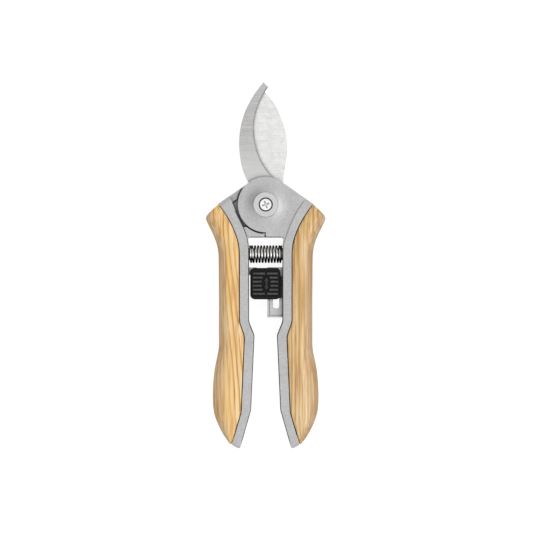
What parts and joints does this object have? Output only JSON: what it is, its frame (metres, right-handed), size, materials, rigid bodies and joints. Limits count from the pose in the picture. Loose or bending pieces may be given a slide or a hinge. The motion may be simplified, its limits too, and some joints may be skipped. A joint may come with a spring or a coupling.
{
  "type": "bypass secateurs",
  "caption": "One-hand bypass secateurs, closed: curved hook and cutting blade on a screw pivot, cast frames with wooden grips, a coil return spring and a sliding thumb lock.",
  "frame": {"origin": "on the pivot axis, at the outer face of the pivot nut, which is the surface the tool lies on", "axes": "+Y along the tool towards the jaw's tip, +Z out of the face that carries the pivot screw and the thumb button, +X towards the handle that carries the hook blade"},
  "size_m": [0.0664, 0.2042, 0.019],
  "materials": {
    "cast_aluminium": "satin, sand-blasted",
    "ash_wood": "oiled, satin, long straight grain",
    "hook_steel": "brushed across the blade",
    "blade_steel": "finely ground",
    "bright_screw": "bright",
    "zinc_steel": "zinc plated",
    "stainless_sheet": "satin sheet",
    "dark_steel": "dark, satin",
    "spring_steel": "blackened, glossy",
    "black_plastic": "satin black"
  },
  "bodies": {
    "hook_handle": {"hook_frame": "cast_aluminium", "hook_grip": "ash_wood", "hook_grip_screws": "zinc_steel", "hook_blade": "hook_steel", "pivot_screw": "bright_screw", "pivot_nut": "zinc_steel", "pivot_washer": "zinc_steel", "lock_track": "stainless_sheet", "track_pins": "zinc_steel"},
    "blade_handle": {"blade_frame": "cast_aluminium", "blade_grip": "ash_wood", "blade_grip_screws": "zinc_steel", "cutting_blade": "blade_steel", "lock_catch": "stainless_sheet", "catch_pin": "zinc_steel", "return_spring": "spring_steel"},
    "lock": {"lock_slider_plate": "dark_steel", "lock_tooth": "dark_steel", "lock_button": "black_plastic", "lock_back_button": "black_plastic", "lock_friction_spring": "zinc_steel", "lock_rivets": "zinc_steel"}
  },
  "joints": [
    {"name": "handle_pivot", "type": "hinge", "parent": "hook_handle", "child": "blade_handle", "pos_m": [0, 0, 0.0095], "axis": [0, 0, -1], "range_deg": [0, 32], "stiffness_Nm_per_rad": 0.6, "springref_deg": 40.11, "deforming": ["return_spring"]},
    {"name": "lock_slide", "type": "slide", "parent": "hook_handle", "child": "lock", "axis": [0, 1, 0], "range_m": [-0.0065, 0.0015]}
  ]
}
